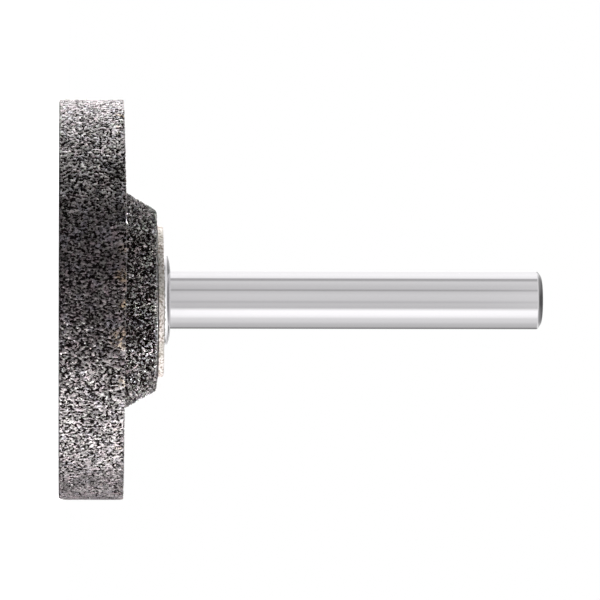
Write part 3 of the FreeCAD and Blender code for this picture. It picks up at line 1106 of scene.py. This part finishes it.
class MOUNTEDPOINT_OT_collar(SharedOperator, Operator):
    """Press the domed steel collar"""

    bl_idname = "mounted_point.collar"
    bl_label = "Collar"

    def execute(self, context):
        steel = self.settings(context).steel
        radius, low, top = turned_room(COLLAR_LOW, COLLAR_HIGH)
        neck = SHANK_HIGH.x
        rim_top = low + steel.collar_rim
        rise = top - rim_top
        width = radius - neck
        dome_radius = (width**2 + rise**2) / (2 * rise)
        facets = 16
        dome = []
        for step in range(facets):
            across = (width - steel.collar_draft - steel.collar_edge) * (1 - step / facets)
            height = top - dome_radius + math.sqrt(dome_radius**2 - across**2)
            dome.append((neck + across, height, 0.0))
        corners = [
            (steel.tail_radius, low, 0.0),
            (radius, low, steel.collar_foot_edge),
            (radius - steel.collar_draft, rim_top, steel.collar_edge * 0.8),
            *dome,
            (neck, top, 0.0),
            (steel.tail_radius, top, 0.0),
        ]
        mesh = lathe("pressed_collar", round_corners(corners, 4), 192, closed=True)
        smooth(mesh)
        # Low end and height of the shade painted at the collar's foot
        foot = (COLLAR_LOW.z, steel.collar_shade_height)
        drawn = steel.drawn_size
        material = steel_material("Pressed steel", steel, steel.roughness * 2, drawn, foot)
        finish_piece(add_object(mesh), material, "collar")
        return {"FINISHED"}


class MOUNTEDPOINT_OT_blotter(SharedOperator, Operator):
    """Press the fibre washer, with its uneven edge"""

    bl_idname = "mounted_point.blotter"
    bl_label = "Blotter"

    def execute(self, context):
        blotter = self.settings(context).blotter
        radius, low, top = turned_room(BLOTTER_LOW, BLOTTER_HIGH)
        corners = [
            (blotter.hole_radius, low, 0.0),
            (radius, low, blotter.foot_rounding),
            (radius, top, blotter.edge_rounding),
            (blotter.hole_radius, top, 0.0),
        ]
        outline = divide(round_corners(corners), blotter.step, closed=True)
        chance = random.Random(3)
        waves = [
            (count, chance.uniform(0, 2 * math.pi), chance.uniform(0.4, 1.0))
            for count in (3, 5, 8, 13, 21, 34, 55)
        ]
        total = sum(weight for _, _, weight in waves)
        towards = math.radians(blotter.shift_azimuth)
        start_share = 0.85

        def ragged(angle, at_radius, at_height):
            """The outer edge wanders and lies off the axis; the hole and the faces stay."""
            wave = sum(weight * math.sin(count * angle + start) for count, start, weight in waves)
            aside = math.cos(angle + towards)
            outer = max(0.0, (at_radius / radius - start_share) / (1 - start_share))
            off = blotter.shift * aside - blotter.unevenness * (1 + wave / total)
            return at_radius + outer * off, at_height + blotter.tilt * (1 + aside)

        mesh = lathe("fibre_blotter", outline, 360, ragged, closed=True)
        smooth(mesh, 50)
        finish_piece(add_object(mesh), fibre_material(blotter), "blotter")
        return {"FINISHED"}


class MOUNTEDPOINT_OT_cement(SharedOperator, Operator):
    """Give the cement in the bore its finish"""

    bl_idname = "mounted_point.cement"
    bl_label = "Cement"

    def execute(self, context):
        node = frame["nodes"]["bonding_cement"]
        material = cement_material()
        if not node.material_slots:
            node.data.materials.append(material)
        for slot in node.material_slots:
            slot.material = material
        return {"FINISHED"}


def direction(azimuth):
    """Level direction from the axis; 0 is towards the camera, 90 towards the picture's top."""
    angle = math.radians(azimuth)
    return Vector((-math.sin(angle), -math.cos(angle), 0.0))


def add_lamp(name, azimuth, elevation, spread, height, radiance, tint, studio):
    """Soft lamp that faces the axis and spans an angle of the horizon."""
    width = 2 * studio.lamp_distance * math.tan(math.radians(spread) / 2)
    lamp = bpy.data.lights.new(name, "AREA")
    lamp.shape = "RECTANGLE"
    lamp.size = width
    lamp.size_y = height
    lamp.color = tint
    lamp.energy = radiance * math.pi * width * height
    holder = bpy.data.objects.new(name, lamp)
    rise = math.radians(elevation)
    outward = direction(azimuth) * math.cos(rise) + Vector((0, 0, math.sin(rise)))
    holder.location = outward * studio.lamp_distance + Vector((0, 0, studio.lamp_centre))
    holder.rotation_euler = outward.to_track_quat("Z", "Y").to_euler()
    holder.visible_camera = False
    bpy.context.scene.collection.objects.link(holder)
    return holder


def light_only(lamp, group):
    """Let a lamp light the pieces of a collection, and only them block it."""
    lamp.light_linking.receiver_collection = group
    lamp.light_linking.blocker_collection = group


def pieces_named(name, ending):
    """Collection of the pieces whose names have an ending, or one of several."""
    group = bpy.data.collections.new(name)
    for piece in bpy.data.objects:
        if piece.name.endswith(ending):
            group.objects.link(piece)
    return group


def add_lamps(studio):
    """Soft lamps for colour, strips for the gloss of the grain and cards for the collar."""
    rosy = (1.0, 0.95, 0.955)
    warm = (1.0, 0.965, 0.97)
    low = studio.lamp_height
    for name, azimuth, spread, radiance, tint in [
        ("Front lamp", -68, 32, studio.front_lamp, rosy),
        ("Back lamp", 142, 70, studio.back_lamp, warm),
    ]:
        lamp = add_lamp(name, azimuth, 0, spread, low, radiance, tint, studio)
        lamp.visible_glossy = False
    grain = pieces_named("Grain", "_skin")
    dressed = pieces_named("Dressed", ("front_face_skin", "rim_skin"))
    moulded = pieces_named("Moulded", ("back_face_skin", "boss_skin"))
    for name, azimuth, spread, radiance, tint, group in [
        ("Front strip", -66.5, 16, studio.front_gloss, rosy, dressed),
        ("Side strip", -102, 30, studio.side_gloss, rosy, dressed),
        ("Boss strip", -46, 30, studio.boss_gloss, rosy, moulded),
        ("Back strip", 112, 68, studio.back_gloss, warm, grain),
    ]:
        strip = add_lamp(name, azimuth, 0, spread, studio.strip_height, radiance, tint, studio)
        strip.visible_diffuse = False
        strip.data.cycles.use_multiple_importance_sampling = False
        light_only(strip, group)
    pressed = pieces_named("Pressed", "_collar")
    for name, azimuth, elevation, spread, height, radiance in [
        ("Collar card front", -50, 0, 150, low, studio.collar_front),
        ("Collar card back", -145, 56, 70, low * 1.4, studio.collar_back),
        ("Collar card low", 180, 0, 150, low * 0.3, studio.collar_back),
    ]:
        card = add_lamp(name, azimuth, elevation, spread, height, radiance, WHITE, studio)
        light_only(card, pressed)


def tent_walls(tree, azimuth):
    """Brightness of the light tent's walls and gaps round the horizon."""
    turn = remap(tree, azimuth, -math.pi, math.pi)
    walls = add_node(tree, "ShaderNodeValToRGB", {0: turn})
    stops = walls.color_ramp.elements
    brightest = max(brightness for _, brightness in TENT)
    for index, (degrees, brightness) in enumerate(TENT):
        stop = stops[index] if index < 2 else stops.new(1.0)
        stop.position = (degrees + 180) / 360
        stop.color = (*[brightness / brightest] * 3, 1.0)
    return times(tree, walls.outputs[0], brightest)


def make_world(studio):
    """White surroundings for the camera and, in steel, the walls and gaps of a light tent."""
    world = bpy.data.worlds.new("Light tent")
    bpy.context.scene.world = world
    world.use_nodes = True
    tree = world.node_tree
    tree.nodes.clear()
    leave = tree.nodes.new("ShaderNodeOutputWorld")
    towards = axes(tree, tree.nodes.new("ShaderNodeTexCoord").outputs["Generated"])
    high = towards["Z"]
    across = times(tree, towards["X"], -1.0)
    nearer = times(tree, towards["Y"], -1.0)
    level = tent_walls(tree, calculate(tree, "ARCTAN2", across, nearer))

    # Above the walls the tent is evenly bright, and its top is darker
    sides = remap(tree, nearer, 0.2, 0.6, 1.1, 1.25)
    level = mix_values(tree, remap(tree, high, 0.13, 0.24), level, sides)
    level = mix_values(tree, remap(tree, high, 0.42, 0.62), level, 0.42)

    # Dark gap in the roof, on the side away from the camera
    roof = times(
        tree,
        remap(tree, calculate(tree, "ABSOLUTE", across), 0.1, 0.45, 1.0, 0.0),
        remap(tree, nearer, 0.6, -0.2),
        remap(tree, high, 0.25, 0.35),
    )
    level = mix_values(tree, roof, level, 0.12)

    # Greyer panel opposite the camera, just above the horizon and towards the picture's top
    panel = times(
        tree,
        remap(tree, across, -0.06, 0.0),
        remap(tree, nearer, -0.86, -0.8, 1.0, 0.0),
        remap(tree, high, 0.09, 0.13),
        remap(tree, high, 0.28, 0.42, 1.0, 0.0),
    )
    level = mix_values(tree, panel, level, 0.6)

    rays = tree.nodes.new("ShaderNodeLightPath").outputs
    plain = mix_values(tree, rays["Is Glossy Ray"], 1.0, level)
    shown = calculate(tree, "MAXIMUM", rays["Is Camera Ray"], rays["Is Glossy Ray"])
    shown = calculate(tree, "MAXIMUM", shown, rays["Is Transmission Ray"])
    strength = mix_values(tree, shown, studio.fill, plain)
    sky = add_node(tree, "ShaderNodeBackground", {"Color": opaque(WHITE), "Strength": strength})
    tree.links.new(sky.outputs[0], leave.inputs["Surface"])


def make_camera(studio):
    """Side view with the shank level in the picture, pointing to its right."""
    view = bpy.data.cameras.new("Photo view")
    view.lens = view.sensor_width * studio.camera_distance / studio.picture_width
    view.clip_start = studio.camera_distance * 0.1
    view.clip_end = studio.camera_distance * 10
    camera = bpy.data.objects.new("Photo view", view)
    place = direction(0) * studio.camera_distance + Vector((0, 0, studio.camera_height))
    ahead = (Vector((0, 0, studio.view_centre)) - place).normalized()
    across = (Vector((0, 0, 1)) - ahead * ahead.z).normalized()
    upward = across.cross(ahead)
    turn = Matrix((across, upward, -ahead)).transposed()
    roll = Matrix.Rotation(math.radians(studio.camera_roll), 3, "Z")
    camera.matrix_world = Matrix.Translation(place) @ (turn @ roll).to_4x4()
    bpy.context.scene.collection.objects.link(camera)
    bpy.context.scene.camera = camera


class MOUNTEDPOINT_OT_studio(SharedOperator, Operator):
    """Set up the floor, the lamps, the surroundings and the camera"""

    bl_idname = "mounted_point.studio"
    bl_label = "Studio"

    def execute(self, context):
        studio = self.settings(context).studio
        half = studio.floor_width / 2
        signs = [(-1, -1), (1, -1), (1, 1), (-1, 1)]
        corners = [(x * half, y * half, -studio.floor_drop) for x, y in signs]
        mesh = bpy.data.meshes.new("studio_floor")
        mesh.from_pydata(corners, [], [(0, 1, 2, 3)])
        mesh.materials.append(floor_material())
        add_object(mesh)
        add_lamps(studio)
        make_world(studio)
        make_camera(studio)
        context.scene.view_settings.view_transform = "Standard"
        return {"FINISHED"}


class MountedPointSettings(PropertyGroup):
    """All settings of the mounted point."""

    __annotations__ = {
        name: PointerProperty(type=kind, name=name.title(), description=kind.__doc__)
        for name, kind in SETTINGS.items()
    }


MAKERS = [
    MOUNTEDPOINT_OT_core,
    MOUNTEDPOINT_OT_skin,
    MOUNTEDPOINT_OT_shank,
    MOUNTEDPOINT_OT_collar,
    MOUNTEDPOINT_OT_blotter,
    MOUNTEDPOINT_OT_cement,
    MOUNTEDPOINT_OT_studio,
]


class MOUNTEDPOINT_PT_makers(Panel):
    """Buttons and settings of the mounted point"""

    bl_idname = "MOUNTEDPOINT_PT_makers"
    bl_label = "Mounted point"
    bl_space_type = "VIEW_3D"
    bl_region_type = "UI"
    bl_category = "Mounted point"

    def draw(self, context):
        group = context.scene.mounted_point_settings
        for maker in MAKERS:
            self.layout.operator(maker.bl_idname)
        for name, kind in SETTINGS.items():
            box = self.layout.box()
            for field in kind.__annotations__:
                box.prop(getattr(group, name), field)


CLASSES = [*SETTINGS.values(), MountedPointSettings, *MAKERS, MOUNTEDPOINT_PT_makers]


def register():
    """Add the settings, the makers and the panel."""
    for kind in CLASSES:
        bpy.utils.register_class(kind)
    bpy.types.Scene.mounted_point_settings = PointerProperty(type=MountedPointSettings)


def unregister():
    """Take them away again."""
    del bpy.types.Scene.mounted_point_settings
    for kind in reversed(CLASSES):
        bpy.utils.unregister_class(kind)


def main():
    """Make every piece and the studio."""
    register()
    tint_group()
    porous_group()
    for maker in MAKERS:
        space, name = maker.bl_idname.split(".")
        getattr(getattr(bpy.ops, space), name)()


if __name__ == "__main__":
    main()
